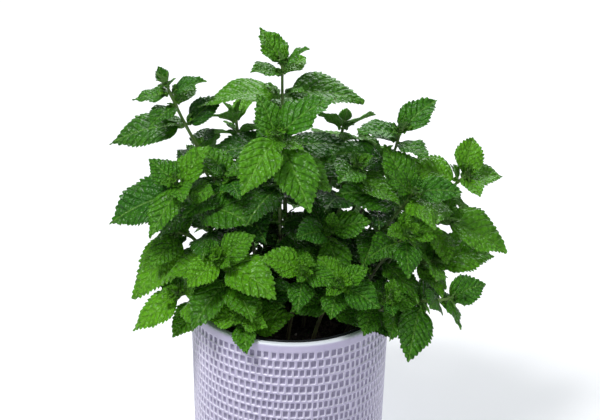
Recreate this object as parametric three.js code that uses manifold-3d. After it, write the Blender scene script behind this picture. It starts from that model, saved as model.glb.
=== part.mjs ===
// A pot of mint: a glazed cover pot, the plastic nursery pot that stands in it, the potting soil,
// and the mint sprigs that are rooted in the soil. Millimetres, +Z up, origin on the table under
// the middle of the pot, -Y towards the front of the plant.
import * as THREE from "three";
import { mergeVertices } from "three/addons/utils/BufferGeometryUtils.js";
import Module from "manifold-3d";

// ---- Driving dimensions ----

const POT_HEIGHT = 125;
const POT_RIM_RADIUS = 67.5;
const POT_FOOT_RADIUS = 66;
const POT_WALL = 5;
const POT_FLOOR = 7;
const POT_EDGE = 1.5; // rounding of the lip and the foot

const NURSERY_RIM_RADIUS = 60.5;
const NURSERY_TOP = POT_HEIGHT - 0.8;
const NURSERY_FOOT_RADIUS = 44;
const NURSERY_WALL = 1.2;
const NURSERY_BAND = 5; // height of the turned-over rim
const DRAIN_HOLES = 5;
const DRAIN_RADIUS = 4;
const DRAIN_CIRCLE = 28;
const DRAIN_FACETS = 10;

const SOIL_TOP = 111; // at the edge of the nursery pot
const SOIL_CROWN = 3; // how much higher the middle stands
const CROWN_SHOULDER = 0.6; // the crown's rounding: this share of its rise at this share of the way out
const STEM_DEPTH = 12; // how deep a stem is rooted

const STEM_SIDE = 2.4; // mint stems are square
const STEM_STEPS = 7;
const STEM_RISE = 0.5; // how far up a stem its foot pulls it, as a share of its span
const STEM_SPREAD = 0.15; // how far out its foot pulls it, as a share of the way to its tip
const STEM_ARCH = 0.28; // how far back its tip pulls it, as a share of its span

const GAP = 0.35; // air between neighbouring pieces
const AROUND = 36; // facets round the pots

// ---- A leaf's proportions, as shares of its length ----

// Each ring of a blade: its place along the midrib, its half width, and the midrib's depth in
// millimetres under the flat of the blade.
const BLADE_RINGS = [
  { along: 0.15, halfWidth: 0.2, keel: 1.5 },
  { along: 0.4, halfWidth: 0.31, keel: 1.7 },
  { along: 0.75, halfWidth: 0.215, keel: 1.4 },
];
const PETIOLE = 3.6; // the shortest leaf stalk, in millimetres from the stem's axis
const ROOT_DEPTH = 0.7; // how far inside the stem's side a leaf's root point lies
const BLADE_LEAD = 0.4; // how far behind its first ring a blade begins, in millimetres
const BROAD_LENGTH = 33; // leaves shorter than this are broader
const BROADENING = 1.18;
const STIFF_SAG = 0.15; // sag of the shortest leaf
const SAG_PER_MM = 0.011;
const RIB_STEPS = 20;
const UPPER_ALONG_STEM = 0.7; // how much a leaf's upper side faces along the stem
const LIGHT_LEVEL = 0.35; // and how much it turns out of the plant and up, to the light
const LIGHT_ABOVE = 0.45;
const BACK_FROM = 20; // a tip farther back than this turns its leaves to the light at the back

// Small pairs stand low on the stems, in the shade of the crown.
const INNER_LENGTH = 21;
const INNER_OPEN = 72;
const INNER_SPACING = 13;
const INNER_FROM = POT_HEIGHT + 12; // the height of the lowest pair
const INNER_TURN = 20;
const QUARTER_TURN = 90;

// ---- The sprigs ----

// root: where the stem stands on the soil. apex: the growing tip. faces: the way the tip points.
// pairs: [distance below the tip, leaf lengths, degrees open from the stem, degrees round the stem].
// Round the stem, 0 is the +X side, and 90 is up on a tip that faces the front, or the far side on
// an upright one. A single number serves both leaves, which stand opposite each other.
const sprigs = [
  {
    name: "top",
    root: [-2, 3],
    apex: [-8, 5, 290],
    faces: [0, -0.08, 1],
    pairs: [
      [1, 10, 22, 60],
      [4, [29, 24], [32, 42], [140, 335]],
      [9, [24, 27], [64, 62], [50, 222]],
      [24, [54, 56], [74, 76], [2, 182]],
      [38, [46, 42], [72, 80], [80, 265]],
      [60, [46, 52], [76, 74], [10, 188]],
      [86, 44, 84, 95],
      [112, 40, 86, 20],
    ],
  },
  {
    name: "front_high",
    root: [-6, -14],
    apex: [-9, -35, 255],
    faces: [0, -0.8, 0.8],
    pairs: [
      [1, 10, 32, 85],
      [4, [44, 46], [62, 84], [42, 238]],
      [10, [33, 50], [60, 92], [127, 299]],
      [24, [40, 36], [98, 92], [335, 190]],
      [48, 42, 88, 60],
      [74, 38, 84, 150],
    ],
  },
  {
    name: "left_high",
    root: [-22, 8],
    apex: [-82, 0, 275],
    faces: [-0.35, -0.1, 1],
    pairs: [
      [0.5, 12, 16, 90],
      [8, [25, 25], [78, 66], 0],
      [16, [22, 25], [72, 80], [50, 235]],
      [32, [30, 52], [58, 58], [15, 186]],
      [48, [24, 24], 76, [70, 250]],
      [74, 40, 88, 0],
      [102, 38, 90, 85],
    ],
  },
  {
    name: "left_rosette",
    root: [-30, -12],
    apex: [-75, -30, 219],
    faces: [-0.35, -0.8, 0.7],
    pairs: [
      [1, 10, 32, 30],
      [4, [25, 22], [58, 60], [124, 306]],
      [8, [34, 37], [66, 82], [46, 238]],
      [15, [25, 54], [74, 60], [350, 186]],
      [30, [50, 34], [84, 80], [345, 205]],
      [52, 40, 80, 95],
    ],
  },
  {
    name: "front_left",
    root: [-26, -28],
    apex: [-46, -50, 178],
    faces: [-0.12, -0.8, 0.65],
    pairs: [
      [1, 9, 32, 75],
      [4, [16, 14], [56, 56], [140, 320]],
      [7, [28, 28], [66, 68], [34, 222]],
      [13, [47, 43], [84, 78], [328, 175]],
      [27, [43, 40], [94, 92], [226, 296]],
      [42, 34, 92, 340],
    ],
  },
  {
    name: "front_middle",
    root: [-2, -34],
    apex: [9, -55, 173],
    faces: [-0.05, -0.8, 0.55],
    pairs: [
      [1, 8, 32, 60],
      [4, 12, 54, [85, 245]],
      [7, [30, 23], [72, 70], [160, 342]],
      [14, [26, 26], [86, 80], [262, 78]],
      [30, 30, 90, 0],
    ],
  },
  {
    name: "front_right",
    root: [14, -36],
    apex: [33, -58, 165],
    faces: [0.08, -0.8, 0.55],
    pairs: [
      [1, 8, 32, 30],
      [4, [20, 13], 56, [38, 215]],
      [7, [24, 29], [68, 74], [122, 338]],
      [13, [23, 22], [84, 80], [255, 75]],
      [28, 28, 90, 165],
    ],
  },
  {
    name: "right_low_small",
    root: [33, -28],
    apex: [65, -48, 151],
    faces: [0.3, -0.75, 0.6],
    pairs: [
      [1, 8, 32, 0],
      [4, [13, 14], 58, [92, 268]],
      [8, [23, 21], 72, [8, 184]],
      [18, 27, 84, 60],
      [30, 26, 90, 330],
    ],
  },
  {
    name: "right_rosette",
    root: [38, -14],
    apex: [76, -35, 190],
    faces: [0.2, -0.8, 0.6],
    pairs: [
      [1, 9, 32, 60],
      [4, [22, 20], 62, [16, 188]],
      [8, [18, 29], [62, 74], [102, 268]],
      [18, [32, 30], 82, [40, 215]],
      [36, 38, 88, 130],
    ],
  },
  {
    name: "right_front_high",
    root: [28, -8],
    apex: [78, -22, 214],
    faces: [0.1, -0.7, 0.7],
    pairs: [
      [1, 11, 28, 90],
      [4, [33, 24], [62, 58], [12, 160]],
      [9, [38, 30], [64, 74], [122, 300]],
      [20, [29, 48], [84, 86], [338, 182]],
      [44, 40, 88, 70],
      [70, 38, 90, 150],
    ],
  },
  {
    name: "right_high",
    root: [20, 6],
    apex: [70, 5, 246],
    faces: [0.1, -0.2, 1],
    pairs: [
      [1, 11, 25, 270],
      [4, [36, 34], [40, 74], [50, 205]],
      [10, [27, 28], [72, 80], [315, 140]],
      [26, [40, 42], 82, [30, 195]],
      [50, 42, 86, 105],
      [78, 40, 88, 10],
    ],
  },
  {
    name: "right_far",
    root: [38, 6],
    apex: [114, -5, 220],
    faces: [0.45, -0.55, 0.8],
    pairs: [
      [1, 9, 30, 330],
      [4, [29, 22], [58, 60], [98, 280]],
      [9, [33, 39], [58, 80], [30, 165]],
      [28, 36, 80, 70],
      [52, 34, 84, [150, 350]],
    ],
  },
  {
    name: "right_mid",
    root: [46, -2],
    apex: [104, -4, 188],
    faces: [0.8, -0.45, 0.45],
    pairs: [
      [1, 12, 30, 60],
      [5, [50, 28], [46, 66], [352, 170]],
      [13, [30, 32], 70, [85, 272]],
      [28, [46, 34], [70, 80], [355, 160]],
      [46, 32, 80, [70, 250]],
    ],
  },
  {
    name: "right_low",
    root: [45, -15],
    apex: [96, -18, 163],
    faces: [0.75, -0.5, 0.25],
    pairs: [
      [1, 12, 30, 20],
      [5, [50, 30], [44, 60], [40, 215]],
      [14, [30, 34], [84, 66], [290, 95]],
      [28, [46, 30], [80, 84], [176, 330]],
    ],
  },
  {
    name: "right_low_far",
    root: [36, -24],
    apex: [106, -38, 146],
    faces: [0.85, -0.25, 0.35],
    pairs: [
      [1, 10, 30, 90],
      [4, [30, 22], [40, 56], [60, 275]],
      [10, [26, 24], 66, [190, 10]],
      [22, [41, 30], [92, 70], [262, 80]],
      [36, 34, 84, 200],
    ],
  },
  {
    name: "left_low",
    root: [-38, -4],
    apex: [-78, -12, 178],
    faces: [-0.75, -0.55, 0.25],
    pairs: [
      [1, 12, 30, 90],
      [5, [26, 30], 56, [70, 250]],
      [12, [36, 56], [74, 60], [95, 225]],
      [26, [38, 42], 84, [350, 200]],
      [44, 34, 88, 90],
    ],
  },
  {
    name: "left_rim",
    root: [-42, -14],
    apex: [-74, -34, 143],
    faces: [-0.7, -0.6, 0.15],
    pairs: [
      [1, 12, 30, 60],
      [5, [42, 26], [40, 62], [215, 35]],
      [12, [28, 30], [62, 70], [140, 310]],
      [24, 32, 84, 40],
    ],
  },
  {
    name: "front_rim",
    root: [-22, -40],
    apex: [-32, -57, 138],
    faces: [-0.1, -0.8, 0.5],
    pairs: [
      [1, 8, 32, 30],
      [4, [20, 22], [70, 74], [350, 170]],
      [9, [24, 24], [70, 76], [60, 285]],
      [18, [32, 28], 80, [350, 165]],
    ],
  },
  {
    name: "middle_low",
    root: [8, -18],
    apex: [25, -30, 190],
    faces: [0.1, -0.8, 0.7],
    pairs: [
      [1, 12, 32, 90],
      [5, 28, 60, 20],
      [12, 34, 70, 110],
      [26, 38, 78, 15],
      [44, 36, 78, 100],
      [62, 34, 80, 10],
    ],
  },
  {
    name: "middle_right",
    root: [14, -4],
    apex: [42, -12, 228],
    faces: [0.2, -0.55, 0.9],
    pairs: [
      [1, 12, 28, 0],
      [5, [28, 30], 62, [60, 235]],
      [12, 38, 74, 330],
      [30, 42, 84, 60],
      [56, 40, 88, 150],
    ],
  },
  {
    name: "middle_left",
    root: [-16, -8],
    apex: [-42, -22, 222],
    faces: [-0.25, -0.6, 0.8],
    pairs: [
      [1, 12, 28, 0],
      [5, [28, 28], 62, [120, 300]],
      [12, 38, 74, 30],
      [30, 42, 84, 120],
      [56, 40, 88, 30],
    ],
  },
  {
    name: "back_left_high",
    root: [-12, 18],
    apex: [-40, 36, 244],
    faces: [-0.15, 0.2, 1],
    pairs: [
      [1, 12, 25, 0],
      [5, [26, 28], [44, 60], [60, 240]],
      [13, 40, 76, 330],
      [32, 44, 84, 60],
      [58, 42, 88, 150],
    ],
  },
  {
    name: "back_right_high",
    root: [10, 20],
    apex: [34, 42, 238],
    faces: [0.15, 0.2, 1],
    pairs: [
      [1, 12, 25, 90],
      [5, [28, 26], [48, 60], [30, 210]],
      [13, 40, 76, 120],
      [32, 44, 84, 30],
      [58, 42, 88, 120],
    ],
  },
  {
    name: "left_back",
    root: [-38, 14],
    apex: [-100, 26, 184],
    faces: [-0.8, 0.1, 0.6],
    pairs: [
      [1, 12, 30, 90],
      [5, 26, 58, 20],
      [13, 38, 72, 110],
      [30, 42, 84, 20],
      [54, 38, 88, 110],
    ],
  },
  {
    name: "back_left",
    root: [-28, 28],
    apex: [-68, 64, 204],
    faces: [-0.5, 0.55, 0.8],
    pairs: [
      [1, 12, 28, 60],
      [5, 28, 60, 150],
      [13, 40, 74, 60],
      [31, 44, 84, 150],
      [56, 40, 88, 60],
    ],
  },
  {
    name: "back_middle",
    root: [-4, 34],
    apex: [-8, 76, 216],
    faces: [-0.05, 0.7, 0.8],
    pairs: [
      [1, 12, 28, 0],
      [5, 30, 60, 90],
      [13, 42, 74, 0],
      [32, 46, 84, 90],
      [58, 42, 88, 0],
    ],
  },
  {
    name: "back_right",
    root: [24, 30],
    apex: [62, 66, 206],
    faces: [0.5, 0.6, 0.8],
    pairs: [
      [1, 12, 28, 120],
      [5, 28, 60, 30],
      [13, 40, 74, 120],
      [31, 44, 84, 30],
      [56, 40, 88, 120],
    ],
  },
  {
    name: "right_back",
    root: [40, 18],
    apex: [106, 36, 194],
    faces: [0.8, 0.25, 0.6],
    pairs: [
      [1, 12, 30, 60],
      [5, 27, 58, 150],
      [13, 38, 72, 60],
      [30, 42, 84, 150],
      [54, 38, 88, 60],
    ],
  },
  {
    name: "back_rim_left",
    root: [-18, 40],
    apex: [-44, 84, 158],
    faces: [-0.4, 0.8, 0.4],
    pairs: [
      [1, 11, 30, 0],
      [5, 25, 58, 90],
      [12, 35, 72, 0],
      [27, 38, 84, 90],
    ],
  },
  {
    name: "back_rim_middle",
    root: [6, 44],
    apex: [14, 92, 162],
    faces: [0.1, 0.85, 0.4],
    pairs: [
      [1, 11, 30, 45],
      [5, 26, 58, 135],
      [12, 36, 72, 45],
      [27, 40, 84, 135],
    ],
  },
  {
    name: "back_rim_right",
    root: [30, 33],
    apex: [64, 76, 156],
    faces: [0.5, 0.75, 0.35],
    pairs: [
      [1, 11, 30, 20],
      [5, 25, 58, 110],
      [12, 35, 72, 20],
      [27, 38, 84, 110],
    ],
  },
];

// ---- Materials ----

const glaze = new THREE.MeshStandardMaterial({ color: 0xc6c2dc, roughness: 0.4, metalness: 0 });
const blackPlastic = new THREE.MeshStandardMaterial({ color: 0x16181c, roughness: 0.45, metalness: 0 });
const pottingSoil = new THREE.MeshStandardMaterial({ color: 0x241a12, roughness: 1, metalness: 0 });
const mintGreen = new THREE.MeshStandardMaterial({ color: 0x3c6523, roughness: 0.6, metalness: 0 });

// ---- Between three.js geometry and solids that can be cut and joined ----

const wasm = await Module();
wasm.setup();

function solidOf(geometry) {
  const bare = geometry.clone();
  bare.deleteAttribute("normal");
  bare.deleteAttribute("uv");
  const merged = mergeVertices(bare, 1e-4);
  return new wasm.Manifold(
    new wasm.Mesh({
      numProp: 3,
      vertProperties: merged.attributes.position.array,
      triVerts: new Uint32Array(merged.index.array),
    })
  );
}

function geometryOf(solid) {
  const mesh = solid.getMesh();
  const corners = new Float32Array(mesh.numVert * 3);
  for (let i = 0; i < mesh.numVert; i++) {
    const from = i * mesh.numProp;
    corners.set(mesh.vertProperties.subarray(from, from + 3), i * 3);
  }
  const geometry = new THREE.BufferGeometry();
  geometry.setAttribute("position", new THREE.BufferAttribute(corners, 3));
  geometry.setIndex(new THREE.BufferAttribute(mesh.triVerts, 1));
  geometry.computeVertexNormals();
  return geometry;
}

// ---- The pots and the soil ----

// Turns an outline of [radius, height] about Z. The outline runs from the bottom outwards and up.
function turned(outline) {
  const points = outline.map(([radius, height]) => new THREE.Vector2(radius, height));
  return new THREE.LatheGeometry(points, AROUND).rotateX(Math.PI / 2);
}

function coverPot() {
  const inside = POT_WALL;
  return turned([
    [0, 0],
    [POT_FOOT_RADIUS - POT_EDGE, 0],
    [POT_FOOT_RADIUS, POT_EDGE],
    [POT_RIM_RADIUS, POT_HEIGHT - POT_EDGE],
    [POT_RIM_RADIUS - POT_EDGE, POT_HEIGHT],
    [POT_RIM_RADIUS - inside + POT_EDGE, POT_HEIGHT],
    [POT_RIM_RADIUS - inside, POT_HEIGHT - POT_EDGE],
    [POT_FOOT_RADIUS - inside, POT_FLOOR + POT_EDGE],
    [POT_FOOT_RADIUS - inside - POT_EDGE, POT_FLOOR],
    [0, POT_FLOOR],
  ]);
}

const nurseryFoot = POT_FLOOR + GAP;
const nurseryShoulder = NURSERY_TOP - NURSERY_BAND;
const nurseryNeckRadius = NURSERY_RIM_RADIUS - 2 * NURSERY_WALL;

// Inside radius of the nursery pot's plain wall at a height.
function nurseryInside(height) {
  const share = (height - nurseryFoot) / (nurseryShoulder - nurseryFoot);
  return THREE.MathUtils.lerp(NURSERY_FOOT_RADIUS, nurseryNeckRadius, share) - NURSERY_WALL;
}

function nurseryPot() {
  const wall = NURSERY_WALL;
  const cup = solidOf(
    turned([
      [0, nurseryFoot],
      [NURSERY_FOOT_RADIUS, nurseryFoot],
      [nurseryNeckRadius, nurseryShoulder],
      [NURSERY_RIM_RADIUS, nurseryShoulder],
      [NURSERY_RIM_RADIUS, NURSERY_TOP],
      [NURSERY_RIM_RADIUS - wall, NURSERY_TOP],
      [nurseryNeckRadius - wall, nurseryShoulder],
      [nurseryInside(nurseryFoot + wall), nurseryFoot + wall],
      [0, nurseryFoot + wall],
    ])
  );
  const drill = new THREE.CylinderGeometry(DRAIN_RADIUS, DRAIN_RADIUS, 6 * wall, DRAIN_FACETS);
  drill.rotateX(Math.PI / 2);
  const drilled = Array.from({ length: DRAIN_HOLES }, (_, i) => {
    const angle = (2 * Math.PI * i) / DRAIN_HOLES;
    const at = [DRAIN_CIRCLE * Math.cos(angle), DRAIN_CIRCLE * Math.sin(angle), nurseryFoot];
    return solidOf(drill.clone().translate(...at));
  });
  return drilled.reduce((left, hole) => left.subtract(hole), cup);
}

// The soil fills the nursery pot, with a socket for each stem.
function soil(sockets) {
  const bottom = nurseryFoot + NURSERY_WALL + GAP;
  const plug = solidOf(
    turned([
      [0, bottom],
      [nurseryInside(bottom) - GAP, bottom],
      [nurseryInside(SOIL_TOP) - GAP, SOIL_TOP],
      [CROWN_SHOULDER * NURSERY_RIM_RADIUS, SOIL_TOP + CROWN_SHOULDER * SOIL_CROWN],
      [0, SOIL_TOP + SOIL_CROWN],
    ])
  );
  return sockets.reduce((left, socket) => left.subtract(socket), plug);
}

// ---- Stems ----

const UP = new THREE.Vector3(0, 0, 1);
const RIGHT = new THREE.Vector3(1, 0, 0);

function stemPath({ root, apex, faces }) {
  const foot = new THREE.Vector3(root[0], root[1], SOIL_TOP - STEM_DEPTH);
  const tip = new THREE.Vector3(...apex);
  const rise = tip.distanceTo(foot);
  const out = new THREE.Vector3(tip.x - foot.x, tip.y - foot.y, 0).multiplyScalar(STEM_SPREAD);
  const start = foot.clone().add(out).addScaledVector(UP, STEM_RISE * rise);
  const end = tip.clone().addScaledVector(new THREE.Vector3(...faces).normalize(), -STEM_ARCH * rise);
  return new THREE.CubicBezierCurve3(foot, start, end, tip);
}

function stemGeometry(path, side) {
  const half = side / 2;
  const square = new THREE.Shape([
    new THREE.Vector2(-half, -half),
    new THREE.Vector2(half, -half),
    new THREE.Vector2(half, half),
    new THREE.Vector2(-half, half),
  ]);
  return new THREE.ExtrudeGeometry(square, { steps: STEM_STEPS, extrudePath: path, bevelEnabled: false });
}

// The place and the direction on the stem's straight pieces, "below" millimetres from its tip.
function spotOnStem(path, below) {
  const share = STEM_STEPS * (1 - below / path.getLength());
  const piece = Math.floor(share);
  const from = path.getPointAt(piece / STEM_STEPS);
  const to = path.getPointAt((piece + 1) / STEM_STEPS);
  return { node: from.clone().lerp(to, share - piece), axis: to.clone().sub(from).normalize() };
}

// ---- Leaves ----

// The midrib of a leaf and the way its upper side faces, from the stem out to the tip.
// It leaves the stem at "open" degrees and then sags under its own weight.
function midrib({ node, axis, light }, round, open, length) {
  const across = RIGHT.clone().addScaledVector(axis, -RIGHT.dot(axis)).normalize();
  const radial = across.applyAxisAngle(axis, THREE.MathUtils.degToRad(round));
  const angle = THREE.MathUtils.degToRad(open);
  const leaving = axis.clone().multiplyScalar(Math.cos(angle)).addScaledVector(radial, Math.sin(angle));
  const upper = axis.clone().multiplyScalar(UPPER_ALONG_STEM).add(light);
  const sag = STIFF_SAG + SAG_PER_MM * length;
  const spots = [];
  const at = node.clone().addScaledVector(leaving, STEM_SIDE / 2 - ROOT_DEPTH);
  for (let i = 0; i <= RIB_STEPS; i++) {
    const along = leaving.clone().addScaledVector(UP, (-sag * i) / RIB_STEPS).normalize();
    const normal = upper.clone().addScaledVector(along, -upper.dot(along)).normalize();
    spots.push({ at: at.clone(), along, normal });
    at.addScaledVector(along, length / RIB_STEPS);
  }
  return (share) => spots[Math.min(RIB_STEPS, Math.round(share * RIB_STEPS))];
}

// A blade from its rings of three corners (left edge, right edge, midrib), closed by a point at
// each end. "swell" fattens it, and "bladeOnly" leaves out the stalk that runs into the stem.
function leafGeometry(rib, length, { swell = 0, bladeOnly = false } = {}) {
  const plump = length < BROAD_LENGTH ? BROADENING : 1;
  const usual = BLADE_RINGS[0].along;
  const start = Math.max(usual, PETIOLE / length);
  const corners = BLADE_RINGS.flatMap(({ along, halfWidth, keel }) => {
    const spot = rib(THREE.MathUtils.mapLinear(along, usual, 1, start, 1));
    const side = spot.along.clone().cross(spot.normal);
    const reach = halfWidth * plump * length + 2 * swell;
    const corner = (across, height) =>
      spot.at.clone().addScaledVector(side, across).addScaledVector(spot.normal, height);
    return [corner(-reach, swell), corner(reach, swell), corner(0, -keel - swell)];
  });
  const first = rib(start);
  const root = bladeOnly ? first.at.clone().addScaledVector(first.along, -BLADE_LEAD) : rib(0).at;
  const tip = rib(1).at.clone().addScaledVector(rib(1).along, swell);
  const points = [root, ...corners, tip];
  const rings = BLADE_RINGS.length;
  const corner = (ring, i) => 1 + 3 * ring + (i % 3);
  const faces = [];
  for (let i = 0; i < 3; i++) {
    faces.push(0, corner(0, i + 1), corner(0, i));
    for (let ring = 0; ring < rings - 1; ring++) {
      const [a, b] = [corner(ring, i), corner(ring, i + 1)];
      const [c, d] = [corner(ring + 1, i), corner(ring + 1, i + 1)];
      faces.push(a, b, c, b, d, c);
    }
    faces.push(points.length - 1, corner(rings - 1, i), corner(rings - 1, i + 1));
  }
  const geometry = new THREE.BufferGeometry().setFromPoints(points);
  geometry.setIndex(faces);
  return geometry;
}

// ---- Finding each leaf a place of its own ----

const placed = [];

function boxOf(geometry) {
  geometry.computeBoundingBox();
  return geometry.boundingBox;
}

// Keeps a piece for later leaves to stay clear of. A leaf gives its blade too, because only its
// stalk may run into its own stem and meet the stalks of its own sprig.
function place(sprig, whole, blade) {
  placed.push({ sprig, box: boxOf(whole), whole: solidOf(whole), blade: blade && solidOf(blade) });
}

const apart = (one, other) => one.intersect(other).isEmpty();

function isClear(sprig, wholeLeaf, itsBlade) {
  const near = placed.filter((other) => other.box.intersectsBox(boxOf(wholeLeaf)));
  if (!near.length) return true;
  const [whole, blade] = [solidOf(wholeLeaf), solidOf(itsBlade)];
  return near.every((other) => {
    if (other.sprig !== sprig) return apart(whole, other.whole);
    return apart(blade, other.whole) && (!other.blade || apart(whole, other.blade));
  });
}

// Small turns that a leaf makes to get clear of its neighbours, the smallest first.
const TURNS = [0, -12, 12, -24, 24, -38, 38];
const TILTS = [0, -10, 10, -20, 20, -32];
const SIZES = [1, 0.85, 0.7];
const shifts = SIZES.flatMap((size) =>
  TURNS.flatMap((turn) => TILTS.map((tilt) => ({ size, turn, tilt })))
).sort((a, b) => effort(a) - effort(b));

function effort({ size, turn, tilt }) {
  return Math.abs(turn) + Math.abs(tilt) + 130 * (1 - size);
}

const both = (value) => (Array.isArray(value) ? value : [value, value]);

// The small pairs under a sprig's own ones, each a quarter turn round from the last.
function innerPairs({ pairs }, path) {
  const inner = [];
  let below = pairs.at(-1)[0] + INNER_SPACING;
  while (spotOnStem(path, below).node.z > INNER_FROM) {
    inner.push([below, INNER_LENGTH, INNER_OPEN, INNER_TURN + QUARTER_TURN * inner.length]);
    below += INNER_SPACING;
  }
  return inner;
}

function growLeaves(sprig, path, pairs) {
  const outward = sprig.apex[1] > BACK_FROM ? LIGHT_LEVEL : -LIGHT_LEVEL;
  const light = new THREE.Vector3(0, outward, LIGHT_ABOVE);
  const leaves = [];
  for (const [below, lengths, opens, rounds] of pairs) {
    const from = { ...spotOnStem(path, below), light };
    const turns = Array.isArray(rounds) ? rounds : [rounds, rounds + 180];
    for (const side of [0, 1]) {
      const [length, open] = [both(lengths)[side], both(opens)[side]];
      const fit = shifts.find(({ size, turn, tilt }) => {
        const rib = midrib(from, turns[side] + turn, open + tilt, size * length);
        const whole = leafGeometry(rib, size * length, { swell: GAP });
        const blade = leafGeometry(rib, size * length, { swell: GAP, bladeOnly: true });
        return isClear(sprig.name, whole, blade);
      });
      if (!fit) continue;
      const size = fit.size * length;
      const rib = midrib(from, turns[side] + fit.turn, open + fit.tilt, size);
      const leaf = leafGeometry(rib, size);
      place(sprig.name, leaf, leafGeometry(rib, size, { bladeOnly: true }));
      leaves.push(leaf);
    }
  }
  return leaves;
}

// ---- Putting it together ----

const mint = new THREE.Group();

function add(name, geometry, material) {
  const mesh = new THREE.Mesh(geometry, material);
  mesh.name = name;
  mint.add(mesh);
}

const pot = coverPot();
const nursery = geometryOf(nurseryPot());
const paths = sprigs.map(stemPath);
const sockets = paths.map((path) => solidOf(stemGeometry(path, STEM_SIDE + 2 * GAP)));
const ground = geometryOf(soil(sockets));

add("cover_pot", pot, glaze);
add("nursery_pot", nursery, blackPlastic);
add("soil", ground, pottingSoil);

for (const geometry of [pot, nursery, ground]) place("pot", geometry);
const stems = paths.map((path) => stemGeometry(path, STEM_SIDE));
stems.forEach((stem, i) => place(sprigs[i].name, stem));

const crown = sprigs.map((sprig, i) => growLeaves(sprig, paths[i], sprig.pairs));
const shade = sprigs.map((sprig, i) => growLeaves(sprig, paths[i], innerPairs(sprig, paths[i])));

sprigs.forEach((sprig, i) => {
  const leaves = [...crown[i], ...shade[i]];
  const grown = leaves.reduce((whole, leaf) => whole.add(solidOf(leaf)), solidOf(stems[i]));
  add(`sprig_${sprig.name}`, geometryOf(grown), mintGreen);
});

export default mint;
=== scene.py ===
"""The looks of the potted mint plant: toothed, puckered leaves and square stems grown on the CAD
sprigs, a glazed pot with rows of small recesses, the plastic nursery pot in it, and the soil.
Everything is in metres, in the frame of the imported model."""

import math

import bpy
import numpy as np
from mathutils import Matrix, Vector


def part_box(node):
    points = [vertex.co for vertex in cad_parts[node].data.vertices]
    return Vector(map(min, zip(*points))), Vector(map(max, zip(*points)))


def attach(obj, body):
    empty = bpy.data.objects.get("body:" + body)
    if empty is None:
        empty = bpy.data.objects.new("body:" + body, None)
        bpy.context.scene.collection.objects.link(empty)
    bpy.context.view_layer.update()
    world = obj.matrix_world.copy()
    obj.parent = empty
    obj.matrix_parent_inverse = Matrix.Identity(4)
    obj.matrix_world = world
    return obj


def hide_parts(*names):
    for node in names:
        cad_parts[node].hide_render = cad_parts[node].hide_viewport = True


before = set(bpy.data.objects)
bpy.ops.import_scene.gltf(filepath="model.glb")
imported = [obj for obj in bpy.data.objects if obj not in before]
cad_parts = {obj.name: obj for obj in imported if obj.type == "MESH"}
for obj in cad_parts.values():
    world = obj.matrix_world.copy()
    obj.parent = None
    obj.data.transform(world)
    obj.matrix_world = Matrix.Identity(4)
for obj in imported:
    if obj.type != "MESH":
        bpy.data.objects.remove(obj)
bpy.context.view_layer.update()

MM = 0.001
rng = np.random.default_rng(7)


# ---- Vectors and curves ----


def unit(v):
    """v, or each row of v, at length 1."""
    length = np.linalg.norm(v, axis=-1, keepdims=True)
    return v / np.maximum(length, 1e-12)


def curve_through(knots, values, at):
    """A smooth curve that has these values at the knots, read at the places in at."""
    slopes = np.gradient(values, knots, axis=0)
    i = np.clip(np.searchsorted(knots, at, side="right") - 1, 0, len(knots) - 2)
    span = (knots[i + 1] - knots[i])[:, None]
    t = ((at - knots[i]) / span[:, 0])[:, None]
    start = (1 + 2 * t) * (1 - t) ** 2 * values[i] + t * (1 - t) ** 2 * span * slopes[i]
    end = t**2 * (3 - 2 * t) * values[i + 1] - t**2 * (1 - t) * span * slopes[i + 1]
    return start + end


def distances(points):
    """How far along the line through the points each one lies."""
    steps = np.linalg.norm(np.diff(points, axis=0), axis=1)
    return np.concatenate([[0.0], np.cumsum(steps)])


def smoothstep(low, high, x):
    t = np.clip((x - low) / (high - low), 0, 1)
    return t * t * (3 - 2 * t)


# ---- Reading a sprig's CAD solid ----

STEM_SIDE = 2.4 * MM
SQUARE_TOLERANCE = 0.02 * MM
RING_SIZE = 3  # a CAD leaf is a tip, then rings of two edge corners and a midrib corner
RINGS = 3


def welded(node):
    """The corners of a CAD node, each once, and the corners that each one shares an edge with."""
    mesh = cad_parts[node].data
    co = np.zeros(len(mesh.vertices) * 3)
    mesh.vertices.foreach_get("co", co)
    places = np.round(co.reshape(-1, 3), 6)
    points, index = np.unique(places, axis=0, return_inverse=True)
    index = index.reshape(-1)
    near = [set() for _ in points]
    for polygon in mesh.polygons:
        corners = [int(index[v]) for v in polygon.vertices]
        for i in corners:
            near[i].update(c for c in corners if c != i)
    return points, near


def rings_from(tip, near):
    """The rings of corners that follow on a tip, or None where there is no leaf."""
    seen = {tip}
    ring = [tip]
    rings = []
    for _ in range(RINGS):
        ring = sorted({n for i in ring for n in near[i]} - seen)
        if len(ring) != RING_SIZE:
            return None
        seen.update(ring)
        rings.append(ring)
    stalk = sorted({n for i in ring for n in near[i]} - seen)
    return rings, stalk


def ring_shape(points, ring, along):
    """A ring's middle, its half width and the way its upper side faces."""
    pairs = [(0, 1, 2), (1, 2, 0), (2, 0, 1)]
    corners = points[ring]
    a, b, keel = max(pairs, key=lambda p: np.linalg.norm(corners[p[0]] - corners[p[1]]))
    middle = (corners[a] + corners[b]) / 2
    normal = middle - corners[keel]
    normal -= normal @ along * along
    return middle, np.linalg.norm(corners[a] - corners[b]) / 2, unit(normal)


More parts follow.
